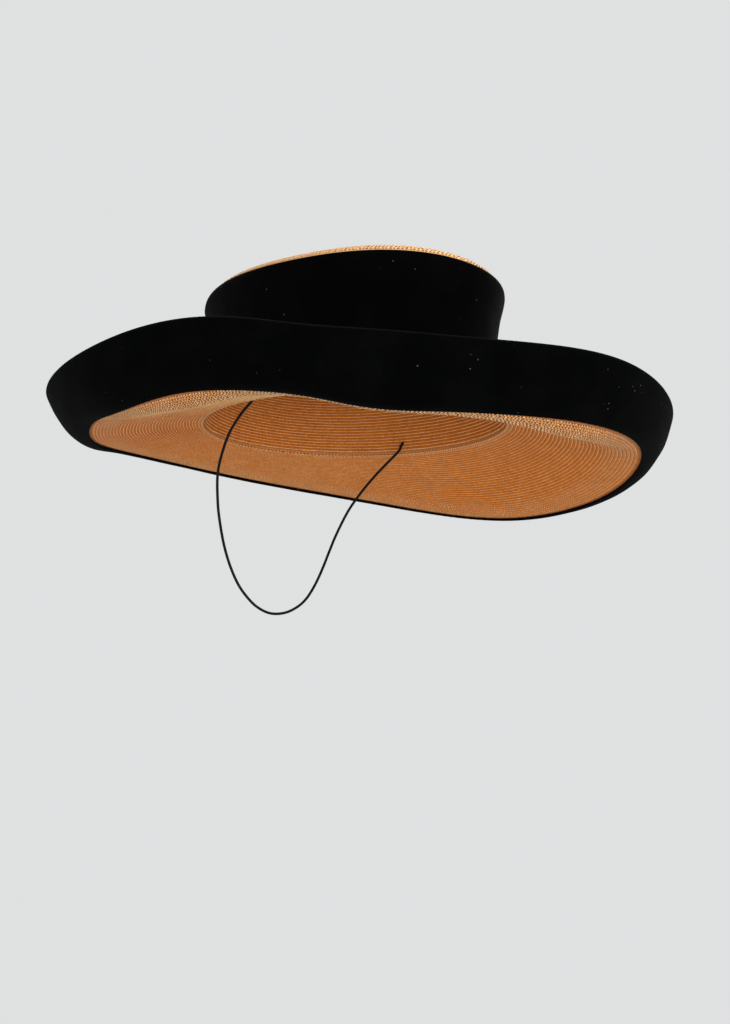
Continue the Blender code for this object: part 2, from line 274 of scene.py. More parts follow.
def ribbed_tube(line, diameter):
    """A round tube along a line, with ribs that wind both ways round it as a braid does."""
    forward = np.gradient(line, axis=0)
    forward /= np.linalg.norm(forward, axis=1)[:, None]
    aside = np.cross(forward, (0.0, 1.0, 0.0))
    aside /= np.linalg.norm(aside, axis=1)[:, None]
    over = np.cross(forward, aside)
    turn = np.arange(ELASTIC_SIDES) * (2 * np.pi / ELASTIC_SIDES)
    wind = 2 * np.pi * length_along(line)[:, None] / COVER_RIB_PITCH
    ribs = np.cos(COVER_RIBS * turn / 2 + wind) * np.cos(COVER_RIBS * turn / 2 - wind)
    radius = (diameter / 2 - COVER_RIB_HEIGHT + COVER_RIB_HEIGHT * ribs)[..., None]
    outward = np.cos(turn)[:, None] * aside[:, None] + np.sin(turn)[:, None] * over[:, None]
    return line[:, None] + radius * outward


elastic_left_half = tuple((-x, y, z) for x, y, z in reversed(ELASTIC_RIGHT_HALF))
elastic_route = ELASTIC_RIGHT_HALF + (ELASTIC_LOWEST,) + elastic_left_half
elastic_line = evenly_spaced(elastic_route, ELASTIC_STATIONS)
cover = Finish("elastic_cover", Specular_IOR_Level=0.10)
cover_round, cover_along = cover.split(cover.place("UV"))
wound_left, wound_right = cover_along + cover_round * COVER_STRANDS, cover_along - cover_round * COVER_STRANDS
cover_braid = (wound_left * np.pi).math("SINE") * (wound_right * np.pi).math("SINE")
cover_height = cover_braid.math("ABSOLUTE")
cover.surface(
    cover.blend(cover_height, *COVER_COLOURS),
    COVER_ROUGHNESS - COVER_SMOOTHER * cover_height,
    cover_height,
    COVER_RELIEF,
)
elastic_cord = surface_of(
    "elastic_cord",
    ribbed_tube(elastic_line, ELASTIC_DIAMETER),
    cover,
    np.linspace(0, ELASTIC_LENGTH / COVER_REPEAT, ELASTIC_STATIONS),
    1,
    closed=False,
)
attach(elastic_cord, "root")
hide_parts("elastic")

# Straw brim. One long plait of split straw is sewn round and round on itself, each row lapping the last, so
# both faces show narrow rows with a raised pale edge. It starts at the head opening, and its outer edge
# turns up.
STRAW_WALL, VELVET_WALL, CLEARANCE = 0.002, 0.0012, 0.0003
OPENING_HALF_WIDTH, OPENING_HALF_LENGTH = 0.0795, 0.105
BRIM_COLUMNS = (
    "angle",
    "seam_radius",
    "seam_height",
    "rim_radius",
    "rim_height",
    "slope_in",
    "slope_at_seam",
)
BRIM_SECTIONS = (
    (0, 0.1835, -0.0190, 0.1985, 0.0196, 10, 6),
    (30, 0.1825, -0.0175, 0.2015, 0.0143, 9, -2),
    (60, 0.1735, -0.0265, 0.1960, 0.0090, 9, -4),
    (90, 0.1670, -0.0305, 0.1860, 0.0080, 9, -6),
    (120, 0.1630, -0.0190, 0.1895, 0.0130, 10, -5),
    (150, 0.1625, -0.0105, 0.1950, 0.0165, 10, -2),
    (180, 0.1640, -0.0090, 0.1980, 0.0170, 11, 1),
    (210, 0.1650, -0.0168, 0.1980, 0.0106, 10, -7),
    (240, 0.1630, -0.0200, 0.1885, 0.0125, 10, -4),
    (270, 0.1620, -0.0160, 0.1830, 0.0203, 10, -5),
    (300, 0.1650, -0.0240, 0.1860, 0.0161, 10, -2),
    (330, 0.1745, -0.0270, 0.1935, 0.0119, 11, 6),
)
# Narrower waves, each a bell of that half width in degrees
DENT_COLUMNS = ("angle", "half_width", "seam_lift", "rim_lift")
BRIM_DENTS = (
    (52, 12, -0.0020, 0.0000),
    (235, 10, 0.0035, 0.0005),
    (253, 13, -0.0036, -0.0005),
    (300, 9, 0.0015, -0.0030),
    (313, 8, -0.0022, 0.0000),
)
# Where the straw's last rows already turn up towards the seam: a bell of that half width, how many degrees
# they turn up by, and how many degrees lower the straw comes in before the turn
ROLL_COLUMNS = ("angle", "half_width", "turn_up", "lower")
BRIM_ROLLS = (
    (270, 13, 37, 5),
    (2, 17, 39, 13),
)
ROLL_REACH_PER_DEGREE = 0.00026
# How far the curves' handles reach, as shares of the straw's way out and of the facing's way up
STRAW_HANDLE_IN, STRAW_HANDLE_OUT, FACING_HANDLE = 0.45, 0.30, 0.39
SECTION_POINTS, BRIM_STEPS, HIDDEN_RINGS = 240, 256, 8
# Rows on the underside are numbered from 0 at the opening. The other faces' numbers start far away from
# these and from each other, so that no two rows look alike
UNDER_ROWS, UPPER_ROWS = 36, 43
UPPER_SIDE_ROW, TIP_FIRST_ROW, INNER_FIRST_ROW = 100, 300, 400
# The crown's rows from the tip's middle to its shoulder, and on over the shoulder as far as the velvet
TIP_ROWS, SHOULDER_ROWS = 32, 5
SHOULDER_ROW, BAND_ROW = TIP_FIRST_ROW + TIP_ROWS, TIP_FIRST_ROW + TIP_ROWS + SHOULDER_ROWS
# A row's outline across its width, heights in metres above the flat: a lapped body and a raised edge
ROW_COLUMNS = ("across", "height")
UNDER_ROW = ((0.00, -0.00022), (0.20, 0.00002), (0.48, 0.00010), (0.70, 0.00004), (0.86, 0.00022))
UPPER_ROW = ((0.00, -0.00020), (0.30, 0.00008), (0.62, 0.00004), (0.84, 0.00020))
# The plait's own pattern repeats at that length, with that many straws each way and that many loops
PLAIT_REPEAT, STRAWS_A_REPEAT, LOOPS_A_REPEAT = 0.0033, 2, 1.45
# Places this close below a row's start are in the row
A_HAIR = 1e-6


def column(columns, table, name):
    """One column of a table, by its name."""
    return np.array([row[columns.index(name)] for row in table], float)


def rows_of(columns, table, *names):
    """Those columns of each row of a table."""
    return zip(*(column(columns, table, name) for name in names))


def each_ring(values):
    """A table of ring and angle. One number for each ring becomes one column."""
    values = np.asarray(values, float)
    return values[:, None] if values.ndim == 1 else values


def ring_rows(*columns):
    """A table with one row for each ring of a piece's section. A single number fills its column."""
    return np.column_stack(np.broadcast_arrays(*columns))


def opening_radius(angle):
    """The head opening's oval: an ellipse's radius at that angle."""
    return 1 / np.hypot(np.sin(angle) / OPENING_HALF_WIDTH, np.cos(angle) / OPENING_HALF_LENGTH)


class Round:
    """A piece's angles round the hat, from the front towards the wearer's left."""

    def __init__(self, steps):
        self.angle = np.arange(steps) * (2 * np.pi / steps)
        self.sin, self.cos = np.sin(self.angle), np.cos(self.angle)
        self.opening = opening_radius(self.angle)

    def brim(self, name):
        """A column of the brim's table as the smoothest wave through its rows (Fourier), plus the dents."""
        values = column(BRIM_COLUMNS, BRIM_SECTIONS, name)
        parts = np.fft.rfft(values) / len(values)
        lobes = np.arange(len(parts))
        weights = np.where((lobes == 0) | (2 * lobes == len(values)), 1.0, 2.0)
        wave = ((weights * parts)[:, None] * np.exp(1j * lobes[:, None] * self.angle)).real.sum(axis=0)
        if name.endswith("height"):
            lift = name.replace("height", "lift")
            for angle, half_width, size in rows_of(DENT_COLUMNS, BRIM_DENTS, "angle", "half_width", lift):
                wave = wave + size * self.bell(angle, half_width)
        return wave

    def roll(self, name):
        """A column of the rolls' table, each row as a bell, in radians."""
        rolls = rows_of(ROLL_COLUMNS, BRIM_ROLLS, "angle", "half_width", name)
        return np.radians(sum(size * self.bell(angle, half_width) for angle, half_width, size in rolls))

    def bell(self, angle, half_width):
        """1 at that angle in degrees, dying away over the half width on both sides."""
        away = np.angle(np.exp(1j * (self.angle - np.radians(angle))))
        return np.exp(-0.5 * (away / np.radians(half_width)) ** 2)

    def rings(self, radius, height, sit_back=0.0):
        """Points with those radii and heights, an array of ring, angle and x, y, z."""
        radius, height, sit_back = np.broadcast_arrays(radius, height, sit_back)
        return np.stack([radius * self.sin, sit_back - radius * self.cos, height], axis=-1)


def bezier(t, *handles):
    """A Bezier curve's radii and heights, tables of place and angle, by three handles or four."""
    if len(handles) == 3:
        weights = (1 - t) ** 2, 2 * t * (1 - t), t**2
    else:
        weights = (1 - t) ** 3, 3 * t * (1 - t) ** 2, 3 * t**2 * (1 - t), t**3
    return [sum(weight * handle[axis] for weight, handle in zip(weights, handles)) for axis in range(2)]


def even_steps(radius, height):
    """The same sections with points at equal steps along each one, and their mean length."""
    steps = np.hypot(np.diff(radius, axis=0), np.diff(height, axis=0))
    along = np.vstack([0 * radius[:1], np.cumsum(steps, axis=0)])
    # Each section gets a span of its own on one long line, so that one reading serves them all
    spans = 2.0 * np.arange(radius.shape[1])
    shares = along / along[-1], np.linspace(0, 1, SECTION_POINTS)[:, None]
    here, wanted = ((share + spans).T.ravel() for share in shares)
    evened = (
        np.interp(wanted, here, values.T.ravel()).reshape(-1, SECTION_POINTS).T for values in (radius, height)
    )
    return *evened, along[-1].mean()


class BrimSection:
    """The brim's underside at every angle, from the head opening past the seam to the rim.

    Three Bezier curves in each section: the straw goes down from the opening and levels out, rolls up a
    little to the seam in places, and the facing goes up from there to the rim. From the opening to the
    seam it sinks in by the room the velvet takes. Places are metres along a section of mean length.
    """

    def __init__(self, around, sunk):
        t = np.linspace(0, 1, SECTION_POINTS)[:, None]
        slope_in, level_out = (np.radians(around.brim(name)) for name in ("slope_in", "slope_at_seam"))
        slope, level_out = level_out + around.roll("turn_up"), level_out - around.roll("lower")

        def onward(point, slope, distance):
            return point[0] + distance * np.cos(slope), point[1] + distance * np.sin(slope)

        opening = around.opening, 0 * around.opening
        seam = around.brim("seam_radius"), around.brim("seam_height")
        rim = around.brim("rim_radius"), around.brim("rim_height")
        reach, rise = np.hypot(seam[0] - opening[0], seam[1]), np.hypot(rim[0] - seam[0], rim[1] - seam[1])
        roll = ROLL_REACH_PER_DEGREE * np.degrees(around.roll("turn_up"))
        roll_middle = onward(seam, slope, -roll)
        roll_start = onward(roll_middle, level_out, -roll)
        straw_in = onward(opening, -slope_in, STRAW_HANDLE_IN * reach)
        straw_out = onward(roll_start, level_out, roll - STRAW_HANDLE_OUT * reach)
        straw = bezier(t, opening, straw_in, straw_out, roll_start)
        rolled = bezier(t, roll_start, roll_middle, seam)
        facing = bezier(t, seam, onward(seam, slope, FACING_HANDLE * rise), rim)
        straw_r, straw_z, straw_length = even_steps(*(np.vstack([a, b[1:]]) for a, b in zip(straw, rolled)))
        facing_r, facing_z, facing_length = even_steps(*facing)
        radius, height = np.vstack([straw_r, facing_r[1:]]), np.vstack([straw_z, facing_z[1:]])
        self.place = np.append(t * straw_length, straw_length + t[1:] * facing_length)
        self.seam, self.rim = straw_length, self.place[-1]
        sinking = sunk * np.clip(self.place / self.seam, 0, 1)[:, None] ** 2
        self.radius, self.height = self.moved(radius, height, -sinking)

    def moved(self, radius, height, distance):
        """Moved at right angles to the section, towards its lower and outer side."""
        along_r = np.gradient(radius, self.place, axis=0)
        along_z = np.gradient(height, self.place, axis=0)
        length = np.hypot(along_r, along_z)
        return radius + distance * along_z / length, height - distance * along_r / length

    def at(self, places, distance):
        """Radii and heights at those places, each that far out: one number for each ring, or tables."""
        radius, height = self.moved(self.radius, self.height, 1.0)
        distance = each_ring(distance)
        places = np.clip(each_ring(places), 0, self.rim) + 0 * self.radius[:1]
        lower = np.clip(np.searchsorted(self.place, places, side="right") - 1, 0, len(self.place) - 2)
        share = (places - self.place[lower]) / (self.place[lower + 1] - self.place[lower])
        angle = np.arange(places.shape[1])

        def read(values, moved):
            here = values[lower, angle] * (1 - share) + values[lower + 1, angle] * share
            there = moved[lower, angle] * (1 - share) + moved[lower + 1, angle] * share
            return here + distance * (there - here)

        return read(self.radius, radius), read(self.height, height)


def braid_rows(count, outline):
    """Places in rows, and heights, of that many rows of plait with that outline."""
    across, height = (column(ROW_COLUMNS, outline, name) for name in ROW_COLUMNS)
    return (np.arange(count)[:, None] + across).ravel(), np.tile(height, count)


def repeats_round(rings, places):
    """How many repeats of the plait go round each row: a whole number, the same on all rings of the row."""
    length = np.linalg.norm(np.diff(rings, axis=1, append=rings[:, :1]), axis=2).sum(axis=1)
    row = np.floor(places + A_HAIR).astype(int)
    row -= row.min()
    mean = np.bincount(row, length) / np.maximum(np.bincount(row), 1)
    return np.round(mean / PLAIT_REPEAT)[row]


# The finish of the plait: its colours from dark to pale, the pale colour of loose plait and of the painted
# light from above, and the dark of its gaps
STRAW_BODY_COLOURS = (0.425, 0.088, 0.005), (0.67, 0.198, 0.019)
STRAW_EDGE_COLOURS = (0.60, 0.350, 0.135), (0.90, 0.66, 0.37)
LOOSE_AND_TOP_LIT_COLOUR, GAP_COLOUR = (0.84, 0.50, 0.22), (0.13, 0.022, 0.003)
STRAW_ROUGHNESS, ROUGHER_BY_GRAIN, ROUGHER_IN_FURROW = 0.50, 0.15, 0.10
# The relief in metres, and how much the grain and the raised edge add to it and the edge takes off
STRAW_RELIEF, GRAIN_RELIEF, EDGE_RELIEF, FLATTER_AT_EDGE = 0.00022, 0.15, 0.5, 0.5
# Where across a row its edge stands up, and where it is flat between its furrows
EDGE_SPAN, FLAT_SPAN = (0.66, 0.78, 0.93, 0.99), (0.02, 0.22, 0.95, 1.0)
# How far noise moves the rows, in rows, and how far noise, the slant and each row's own start move the
# loops, in loops, with the scales of both noises
WAVER_SCALE, WAVER = 90.0, 0.16
LOOP_SCALE, LOOP_WANDER, LOOP_SLANT, LOOP_SHIFT = 330.0, 1.1, 0.30, 3
GRAIN_SCALE, PATCH_SCALE = 7, 55.0
# Where a loop turns into the dark gap after it, and over how many rows the opening's loose plait ends
GAP_RISE, OPENING_FADE = (0.35, 0.72), (0.6, 2.5)
# Fixed numbers that keep the rows' random tones apart from the loops'
ROW_DRAW, LOOP_DRAW = (7.3, 2.1), 5.1
# How much each straw, its grain and slow patches count in the body's colour, and how much darker it starts
BY_STRAW, BY_GRAIN, BY_PATCH, START_DARKER = 0.55, 0.30, 0.40, 0.12
# How much loose plait and the painted light from above count in the paleness of the bodies, and with each
# loop, of the edges
BODY_BY_LOOSE, BODY_BY_TOP_LIT = 0.34, 0.42
EDGE_BY_LOOP, EDGE_BY_LOOSE, EDGE_BY_TOP_LIT = 0.60, 0.50, 0.30
# How much the painted light from above pales the upper side and the rows round the shoulder
UPPER_SIDE_TOP_LIT, BAND_ROWS_TOP_LIT = 0.55, 0.45
# How pale the edges and how dark the furrows are: everywhere, and how much more at the front right, where
# the plait is loose, at the gaps between loops, and at those gaps where it is loose
EDGE_SHARES = (0.78, 0.10, 0.10, -0.22, -0.65)
FURROW_SHARES = (0.18, 0.12, 0.24, 0.38, 0.95)
# How dark it is between the straws, in the gaps of a loose raised edge, and in the painted shadow of the
# velvet's edge on the last row
BETWEEN_STRAWS_DARK, LOOSE_EDGE_GAP_DARK, VELVET_SHADOW_DARK = 0.24, 1.045, 0.55
# The level direction to the front right, and the distance over which the front right begins
FRONT_RIGHT_X, FRONT_RIGHT_Y, FRONT_RIGHT_START = -0.78, -0.63, 0.08
# How loose the plait is by the velvet away from the front right, where it is 1
LOOSE_ALL_ROUND = 0.38

straw = Finish("straw_plait", Specular_IOR_Level=0.05)
straw_round, straw_across = straw.split(straw.place("UV"))
straw_row = straw_across.math("FLOOR")
straw_place = straw.place()
# The rows waver a little, as sewn by eye
in_row = straw_across - straw_row + (straw.noise(straw_place, WAVER_SCALE) - 0.5) * WAVER
# The plait: two families of flat straws cross at a slant, each lying over the other in turn
lean_left, lean_right = straw_round * STRAWS_A_REPEAT + in_row, straw_round * STRAWS_A_REPEAT - in_row
left_number, right_number = lean_left.math("FLOOR"), lean_right.math("FLOOR")
left_in, right_in = lean_left - left_number, lean_right - right_number
left_on_top = (left_number + right_number).math("PINGPONG", 1.0)
left_height = left_in.hump(3) * right_in.hump(8)
right_height = right_in.hump(3) * left_in.hump(8)
strand_height = left_on_top * left_height + (1 - left_on_top) * right_height
strand_number = left_on_top * left_number + (1 - left_on_top) * (right_number + 0.5)
strand_tone = straw.chance(straw.joined(strand_number, straw_row, left_on_top))
row_tone = straw.chance(straw.joined(straw_row, *ROW_DRAW))
grain_across = left_on_top * left_in + (1 - left_on_top) * right_in
grain = straw.noise(straw.joined(grain_across * GRAIN_SCALE, strand_number, straw_row), 1.0, 3.0, 0.6)
patches = straw.noise(straw_place, PATCH_SCALE, 3.0, 0.55)
raised_edge = in_row.span(*EDGE_SPAN)
furrow = 1 - in_row.span(*FLAT_SPAN)
# The edge of the plait, where each straw turns back: a pale loop and then a dark gap, at a slant
loop_wander = straw.noise(straw_place, LOOP_SCALE, 1.0) * LOOP_WANDER
loops = straw_round * LOOPS_A_REPEAT + in_row * LOOP_SLANT + row_tone * LOOP_SHIFT + loop_wander
loop_tone = straw.chance(straw.joined(loops.math("FLOOR"), straw_row, LOOP_DRAW))
edge_wrap = (loops * (2 * np.pi)).math("SINE") * 0.5 + 0.5
dark_gap = (1 - edge_wrap).rise(*GAP_RISE)
# The plait is looser, with open gaps, by the opening, by the band, and by the velvet, there most of all at
# the front right
straw_x, straw_y = straw.split(straw_place)
front_right = (straw_x * FRONT_RIGHT_X + straw_y * FRONT_RIGHT_Y).rise(0.0, FRONT_RIGHT_START)
by_opening = 1 - straw_across.math("ABSOLUTE").rise(*OPENING_FADE)
by_velvet = straw_across.span(UNDER_ROWS - 11, UNDER_ROWS - 6, UNDER_ROWS, UNDER_ROWS + 1)
by_band = straw_across.span(SHOULDER_ROW - 2, SHOULDER_ROW + 2, BAND_ROW, INNER_FIRST_ROW)
by_velvet_loose = by_velvet * (LOOSE_ALL_ROUND + (1 - LOOSE_ALL_ROUND) * front_right)
loose = by_opening.math("MAXIMUM", by_velvet_loose).math("MAXIMUM", by_band)
# The last row before the velvet is painted darker, as the shadow of the velvet's edge. Painted light from
# above makes the upper side and the tip paler
velvet_edge_shadow = straw_across.span(UNDER_ROWS - 0.9, UNDER_ROWS - 0.5, UNDER_ROWS, UNDER_ROWS + 1)
upper_side = straw_across.span(UNDER_ROWS + 1, UNDER_ROWS + 2, INNER_FIRST_ROW - 2, INNER_FIRST_ROW)
# Painted light from above: the upper side and the rows round the shoulder are made paler
top_lit_paleness = upper_side * UPPER_SIDE_TOP_LIT + by_band * BAND_ROWS_TOP_LIT


def share_of_plait(everywhere, at_front_right, where_loose, at_gaps, at_loose_gaps):
    """How much of a thing shows: a share everywhere, plus what the front right, loose plait and gaps add."""
    off_gaps = everywhere + at_front_right * front_right + where_loose * loose
    return off_gaps + (at_gaps + at_loose_gaps * loose) * dark_gap


body_tone = strand_tone * BY_STRAW + grain * BY_GRAIN + patches * BY_PATCH - START_DARKER
body_colour = straw.blend(body_tone, *STRAW_BODY_COLOURS)
# Loose plait is paler, and painted light from above pales the upper side and the shoulder's rows
body_colour = straw.blend(loose * BODY_BY_LOOSE + top_lit_paleness * BODY_BY_TOP_LIT, body_colour, LOOSE_AND_TOP_LIT_COLOUR)
edge_tone = loop_tone * EDGE_BY_LOOP + loose * (1 - dark_gap) * EDGE_BY_LOOSE + top_lit_paleness * EDGE_BY_TOP_LIT
edge_colour = straw.blend(edge_tone, *STRAW_EDGE_COLOURS)
edged_colour = straw.blend(raised_edge * share_of_plait(*EDGE_SHARES), body_colour, edge_colour)
gaps = (
    furrow * share_of_plait(*FURROW_SHARES)
    + (1 - strand_height) * (1 - raised_edge) * BETWEEN_STRAWS_DARK
    + loose * dark_gap * raised_edge * LOOSE_EDGE_GAP_DARK
    # painted shadow of the velvet's edge on the last row
    + velvet_edge_shadow * VELVET_SHADOW_DARK
)
straw.surface(
    straw.blend(gaps, edged_colour, GAP_COLOUR),
    STRAW_ROUGHNESS + ROUGHER_BY_GRAIN * grain + ROUGHER_IN_FURROW * furrow,
    strand_height * (1 - FLATTER_AT_EDGE * raised_edge)
    + GRAIN_RELIEF * grain
    + EDGE_RELIEF * raised_edge * edge_wrap,
    STRAW_RELIEF,
)

brim_round = Round(BRIM_STEPS)
straw_section = BrimSection(brim_round, CLEARANCE + VELVET_WALL)
straw_end = straw_section.rim - (STRAW_WALL / 2 + CLEARANCE + VELVET_WALL)
under_places, under_relief = braid_rows(UNDER_ROWS, UNDER_ROW)
upper_places, upper_relief = (values[::-1] for values in braid_rows(UPPER_ROWS, UPPER_ROW))
hidden_places = np.linspace(straw_section.seam, straw_end, HIDDEN_RINGS)
edge_turns = np.radians((0, 30, 60, 90, 120, 150, 180))


def turned_edge(place, middle, radius, turns, ahead):
    """Places and distances round an edge: a half turn from the lower side, on the side ahead (1 or -1)."""
    return place + ahead * radius * np.sin(turns), middle + radius * np.cos(turns)


# Each ring's place, distance out and row number: the underside, the straw under the velvet, the rim, the
# upper side and the edge of the opening
outer_edge = turned_edge(straw_end, -STRAW_WALL / 2, STRAW_WALL / 2, edge_turns, 1)
opening_edge = turned_edge(0, -STRAW_WALL / 2, STRAW_WALL / 2, edge_turns[::-1], -1)
upper_row_places = upper_places * straw_end / UPPER_ROWS
brim_profile = np.vstack(
    [
        ring_rows(under_places * straw_section.seam / UNDER_ROWS, under_relief, under_places),
        ring_rows(hidden_places, 0, UNDER_ROWS),
        ring_rows(*outer_edge, UNDER_ROWS),
        ring_rows(upper_row_places, -STRAW_WALL - upper_relief, UPPER_SIDE_ROW + upper_places),
        ring_rows(*opening_edge, -edge_turns[::-1] / np.pi),
    ]
)
brim_places, brim_distances, brim_across = brim_profile.T
brim_rings = brim_round.rings(*straw_section.at(brim_places, brim_distances))
straw_brim_braid = surface_of(
    "straw_brim_braid", brim_rings, straw, brim_across, repeats_round(brim_rings, brim_across)
)
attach(straw_brim_braid, "root")
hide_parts("straw_brim")

# Straw crown. The same plait goes on up from the opening, round the side and over a rounded shoulder, and
# closes in on itself in long ovals across the nearly flat tip. Outside, velvet covers its side; inside, it
# is bare.
CROWN_COLUMNS = ("share_of_height", "stand_out", "sit_back")
CROWN_SECTIONS = (
    (0.00, 0.0020, 0.0000),
    (0.25, -0.0030, 0.0013),
    (0.50, -0.0068, 0.0027),
    (0.75, -0.0055, 0.0043),
    (1.00, -0.0010, 0.0058),
)
BAND_TOP_HEIGHT, BAND_TOP_BEND = 0.0805, 18
CROWN_WAVE_COLUMNS = ("lobes", "lift", "peak_at")
CROWN_WAVES = ((1, 0.0086, -44), (3, 0.0014, -18))
SHOULDER_RADIUS, TIP_DOME = 0.0077, 0.004
# Half the length of the line in the tip's middle that the ovals close on
TIP_LINE = 0.023
CROWN_STEPS = 216
WALL_ROWS, INNER_SHOULDER_ROWS = 36, 4
# The wall's share of height where it meets the brim, a hair below the wall's own start
FOOT = -0.005
# The smooth straw under the velvet, down to the foot: shares of the wall's height, and degrees of bend
UNDER_BAND_COLUMNS = ("share_of_height", "bend")
UNDER_BAND = ((1, 12), (1, 6), (1, 0), (0.8, 0), (0.6, 0), (0.4, 0), (0.2, 0), (0, 0), (FOOT, 0))


def crown_waves(angle, share=1.0):
    """The top edge's waves round the hat. Towards the tip's middle a wave of more lobes dies away sooner."""
    waves = rows_of(CROWN_WAVE_COLUMNS, CROWN_WAVES, *CROWN_WAVE_COLUMNS)
    return sum(
        share**lobes * lift * np.cos(lobes * (angle - np.radians(peak))) for lobes, lift, peak in waves
    )


class Crown:
    """The crown's outer straw face at every angle, as a side that bends over into a tip."""

    def __init__(self, around):
        self.around = around
        self.foot = STRAW_WALL + CLEARANCE
        band_arc = SHOULDER_RADIUS + CLEARANCE + VELVET_WALL
        band_top = BAND_TOP_HEIGHT + crown_waves(around.angle)
        self.shoulder_start = band_top - band_arc * np.sin(np.radians(BAND_TOP_BEND))

    def side(self, share, bend, outward):
        """Rings up the wall by share of its height, then over the shoulder by degrees, moved outward."""
        share, bend, outward = each_ring(share), np.radians(each_ring(bend)), each_ring(outward)
        names = "stand_out", "sit_back"
        rows = np.column_stack([column(CROWN_COLUMNS, CROWN_SECTIONS, name) for name in names])
        stand_out, sit_back = np.moveaxis(curve_through(rows, share.ravel()).reshape(*share.shape, 2), -1, 0)
        arc = SHOULDER_RADIUS + outward
        radius = self.around.opening + stand_out - SHOULDER_RADIUS + arc * np.cos(bend)
        height = self.foot + (self.shoulder_start - self.foot) * share + arc * np.sin(bend)
        return self.around.rings(radius, height, sit_back)

    def tip(self, share, outward):
        """Rings across the tip from 1 at the shoulder to 0 on the middle line, each point between its edge
        point and the line. The height goes by the place: a low dome with the shoulder's waves."""
        share, outward = each_ring(share), each_ring(outward)
        _, stand_out, sit_back = CROWN_SECTIONS[-1]
        edge = self.around.opening + stand_out - SHOULDER_RADIUS
        line = TIP_LINE * self.around.cos
        x, ahead = share * edge * self.around.sin, line + share * (edge * self.around.cos - line)
        angle = np.arctan2(x, ahead)
        out = np.hypot(x, ahead) / (opening_radius(angle) + stand_out - SHOULDER_RADIUS)
        edge_height = (self.shoulder_start - crown_waves(self.around.angle)).mean() + SHOULDER_RADIUS
        height = edge_height + crown_waves(angle, out) + TIP_DOME * (1 - out**2) + outward
        return np.stack([x, sit_back - ahead, height], axis=-1)

    def rows(self, places, outward, shoulder_rows, end_bend):
        """Rings of plait from the tip's middle, over the shoulder and, if it bends fully, down the wall."""
        past_tip, past_shoulder = places - TIP_ROWS, places - TIP_ROWS - shoulder_rows
        on_tip = past_tip <= 0
        bend = 90 - (90 - end_bend) * np.clip(past_tip / shoulder_rows, 0, 1)
        share = np.where(past_shoulder > 0, 1 - past_shoulder / WALL_ROWS, 1)
        tip = self.tip(places[on_tip] / TIP_ROWS, outward[on_tip])
        return np.vstack([tip, self.side(share[~on_tip], bend[~on_tip], outward[~on_tip])])


crown = Crown(Round(CROWN_STEPS))
inner_rows = TIP_ROWS + INNER_SHOULDER_ROWS + WALL_ROWS
outer_places, outer_relief = braid_rows(TIP_ROWS + SHOULDER_ROWS, UPPER_ROW)
inner_places, inner_relief = braid_rows(inner_rows, UPPER_ROW)
under_share, under_bend = (column(UNDER_BAND_COLUMNS, UNDER_BAND, name) for name in UNDER_BAND_COLUMNS)
crown_rings = np.vstack(
    [
        crown.rows(outer_places, outer_relief, SHOULDER_ROWS, BAND_TOP_BEND),
        crown.side(under_share, under_bend, 0.0),
        crown.side([FOOT], [0], -STRAW_WALL),
        crown.rows(inner_places, -STRAW_WALL - inner_relief, INNER_SHOULDER_ROWS, 0)[::-1],
    ]
)
crown_across = np.concatenate(
    [
        TIP_FIRST_ROW + outer_places,
        np.full(len(under_share), BAND_ROW),
        [INNER_FIRST_ROW + inner_rows],
        INNER_FIRST_ROW + inner_places[::-1],
    ]
)
crown_repeats = repeats_round(crown_rings, crown_across)
straw_crown_braid = surface_of(
    "straw_crown_braid", crown_rings, straw, crown_across, crown_repeats, closed=False
)
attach(straw_crown_braid, "root")
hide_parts("straw_crown_side", "straw_crown_tip")

# Velvet crown band. One strip of black cotton velvet is stretched round the crown's side and glued to the
# straw. Its edges are turned in, so they are thick and soft, and its ends meet at the back.
BAND_STEPS, BAND_RISES, BAND_BACK_RISES, EDGE_STEPS = 300, 28, 10, 7
VELVET_EDGE = VELVET_WALL / 2
# The waves' depth, and a power that keeps them nearly full until close to the strip's two edges
BAND_WAVE, BAND_SOFT_ENDS = 0.00022, 0.5
# The ends' join: its angle in degrees, its depth, and its half width in degrees
JOIN_ANGLE, JOIN_DEPTH, JOIN_HALF_WIDTH = 180, 0.0004, 0.55
# Slow uneven waves of cloth on glue: sines with so many turns round the hat and so many radians up it, their
# start and share, and how much a slow wandering moves them
WAVE_COLUMNS = ("turns", "up", "start", "share", "moved")
CLOTH_WAVES = (
    (17, 0, 0.0, 0.4, 2.1),
    (29, -4, 0.8, 0.3, 0.0),
    (11, 9, 1.9, 0.3, 0.0),
)
WANDER_TURNS, WANDER_UP = 1.3, 3
# The velvet's darkest and palest colours, and the colour of lint on it
VELVET_COLOURS, LINT_COLOUR = ((0.0004, 0.0005, 0.0005), (0.0018, 0.0019, 0.0020)), (0.12, 0.12, 0.12)
VELVET_SHEEN_TINT, VELVET_SHEEN_ROUGHNESS = (0.75, 0.77, 0.82), 0.4
NAP_SCALE, LAY_SCALE, LINT_SCALE, LINT_PATCH_SCALE = 1500.0, 38.0, 240.0, 70.0
LINT_SHARE, NAP_RELIEF = 0.6, 0.00025
VELVET_ROUGHNESS, ROUGHER_BY_NAP = 0.9, 0.1
# Soft steps: in how the nap lies, from a speck of lint outward, and where the patches with lint are
LAY_RISE, SPECK_RISE, LINT_PATCH_RISE = (0.35, 0.70), (0.05, 0.13), (0.62, 0.66)
BAND_SHEEN, FACING_SHEEN = 0.034, 0.015


